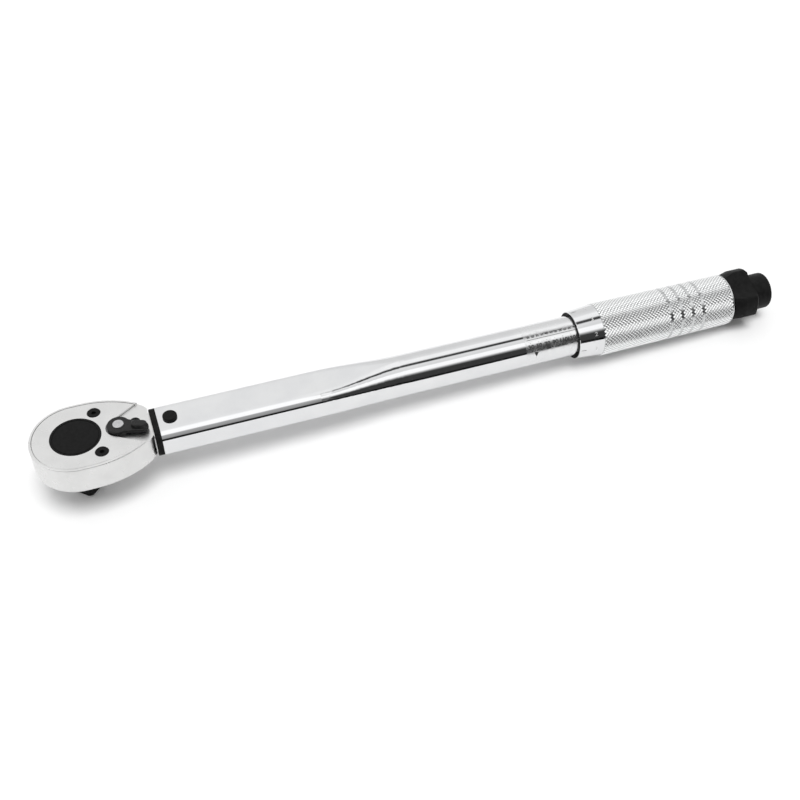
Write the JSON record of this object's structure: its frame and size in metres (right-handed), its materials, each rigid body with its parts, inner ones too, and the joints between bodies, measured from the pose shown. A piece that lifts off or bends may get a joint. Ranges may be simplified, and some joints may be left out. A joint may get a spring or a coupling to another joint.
{
  "type": "torque wrench",
  "caption": "Click-type torque wrench: ratchet head with square drive and reversing lever, part-flattened tube, knurled micrometer handle and lock knob.",
  "frame": {"origin": "on the drive axis, in the plane of the drive's shoulder where a socket seats", "axes": "+X along the tube to the lock knob, +Z away from the square drive, along its axis"},
  "size_m": [0.4707, 0.052, 0.0469],
  "materials": {
    "satin_chrome": "satin chrome plate",
    "polished_chrome": "polished chrome plate",
    "knurled_chrome": "knurled chrome plate",
    "black_steel": "black oxide",
    "lever_black": "satin black",
    "plain_steel": "ground",
    "spring_steel": "oil-tempered",
    "brass": "machined",
    "black_plastic": "matt black",
    "black_rubber": "matt"
  },
  "bodies": {
    "housing": {"tube": "polished_chrome", "tube_collar": "black_rubber", "pivot_pin": "black_steel", "end_plug": "brass", "plug_pins": "plain_steel"},
    "head": {"ratchet_head": "satin_chrome", "cover_plate": "satin_chrome", "cover_screws": "black_steel", "drive_washer": "plain_steel", "pawl_pin": "plain_steel", "index_plunger": "black_steel", "index_spring": "spring_steel"},
    "drive": {"drive_gear": "black_steel", "drive_ball_spring": "spring_steel"},
    "drive_ball": {"drive_ball": "plain_steel"},
    "lever": {"reversing_lever": "lever_black", "lever_shaft": "plain_steel", "detent_spring": "spring_steel"},
    "detent_pin": {"detent_pin": "plain_steel"},
    "pawl": {"pawl": "plain_steel"},
    "index_ball": {"index_ball": "plain_steel"},
    "plunger": {"plunger": "plain_steel"},
    "tilt_block": {"tilt_block": "plain_steel"},
    "spring_seat": {"spring_seat": "plain_steel", "thrust_ball": "plain_steel", "main_spring": "spring_steel"},
    "handle": {"grip_sleeve": "knurled_chrome", "thimble_wiper": "black_rubber", "adjusting_screw": "plain_steel", "sleeve_hub": "plain_steel", "hub_pins": "plain_steel"},
    "lock_rod": {"lock_rod": "plain_steel", "lock_rod_spring": "spring_steel"},
    "lock_ball_upper": {"lock_ball_upper": "plain_steel"},
    "lock_ball_lower": {"lock_ball_lower": "plain_steel"},
    "lock_knob": {"lock_knob": "black_plastic", "lock_bolt": "plain_steel"}
  },
  "joints": [
    {"name": "head_click", "type": "hinge", "parent": "housing", "child": "head", "pos_m": [0.0533, 0, 0.012], "axis": [0, 0, 1], "range_deg": [0, 2], "stiffness_Nm_per_rad": 20, "springref_deg": -2.86},
    {"name": "plunger_slide", "type": "slide", "parent": "housing", "child": "plunger", "axis": [1, 0, 0], "range_m": [0, 0.003]},
    {"name": "block_tilt", "type": "hinge", "parent": "plunger", "child": "tilt_block", "pos_m": [0.159, 0.0045, 0.012], "axis": [0, 0, -1], "range_deg": [0, 18.8]},
    {"name": "drive_spin", "type": "hinge", "parent": "head", "child": "drive", "pos_m": [0, 0, 0.012], "axis": [0, 0, 1], "continuous": true},
    {"name": "drive_ball_slide", "type": "slide", "parent": "drive", "child": "drive_ball", "axis": [0.7071, -0.7071, 0], "range_m": [0, 0.0009], "stiffness_N_per_m": 500, "springref_m": -0.001, "deforming": ["drive_ball_spring"]},
    {"name": "reverse_lever", "type": "hinge", "parent": "head", "child": "lever", "pos_m": [0.0243, 0, 0.022], "axis": [0, 0, 1], "range_deg": [0, 44]},
    {"name": "pawl_rock", "type": "hinge", "parent": "head", "child": "pawl", "pos_m": [0.0184, 0, 0.0155], "axis": [0, 0, -1], "range_deg": [0, 10]},
    {"name": "detent_pin_slide", "type": "slide", "parent": "lever", "child": "detent_pin", "axis": [0.9272, -0.3746, 0], "range_m": [0, 0.0005], "stiffness_N_per_m": 500, "springref_m": -0.001, "deforming": ["detent_spring"]},
    {"name": "index_ball_slide", "type": "slide", "parent": "head", "child": "index_ball", "axis": [0, 0, -1], "range_m": [0, 0.0005], "stiffness_N_per_m": 500, "springref_m": -0.001, "deforming": ["index_spring"]},
    {"name": "spring_seat_slide", "type": "slide", "parent": "housing", "child": "spring_seat", "axis": [-1, 0, 0], "range_m": [0, 0.024], "deforming": ["main_spring"]},
    {"name": "handle_turn", "type": "hinge", "parent": "spring_seat", "child": "handle", "pos_m": [0.36, 0, 0.012], "axis": [-1, 0, 0], "range_deg": [0, 4320]},
    {"name": "lock_rod_slide", "type": "slide", "parent": "handle", "child": "lock_rod", "axis": [1, 0, 0], "range_m": [0, 0.0025], "deforming": ["lock_rod_spring"]},
    {"name": "lock_knob_turn", "type": "hinge", "parent": "lock_rod", "child": "lock_knob", "pos_m": [0.42, 0, 0.012], "axis": [1, 0, 0], "range_deg": [0, 720]},
    {"name": "lock_ball_upper_slide", "type": "slide", "parent": "handle", "child": "lock_ball_upper", "axis": [0, 0, -1], "range_m": [0, 0.0006]},
    {"name": "lock_ball_lower_slide", "type": "slide", "parent": "handle", "child": "lock_ball_lower", "axis": [0, 0, 1], "range_m": [0, 0.0006]}
  ],
  "couplings": [
    {"joint": "plunger_slide", "follows": "head_click", "m_per_rad": 0.085935},
    {"joint": "block_tilt", "follows": "head_click", "ratio": 9.35},
    {"joint": "pawl_rock", "follows": "reverse_lever", "ratio": 0.22725},
    {"joint": "spring_seat_slide", "follows": "handle_turn", "m_per_rad": 0.00031831},
    {"joint": "lock_knob_turn", "follows": "lock_rod_slide", "rad_per_m": 5026},
    {"joint": "lock_ball_upper_slide", "follows": "lock_rod_slide", "ratio": 0.23998},
    {"joint": "lock_ball_lower_slide", "follows": "lock_rod_slide", "ratio": 0.23998}
  ]
}
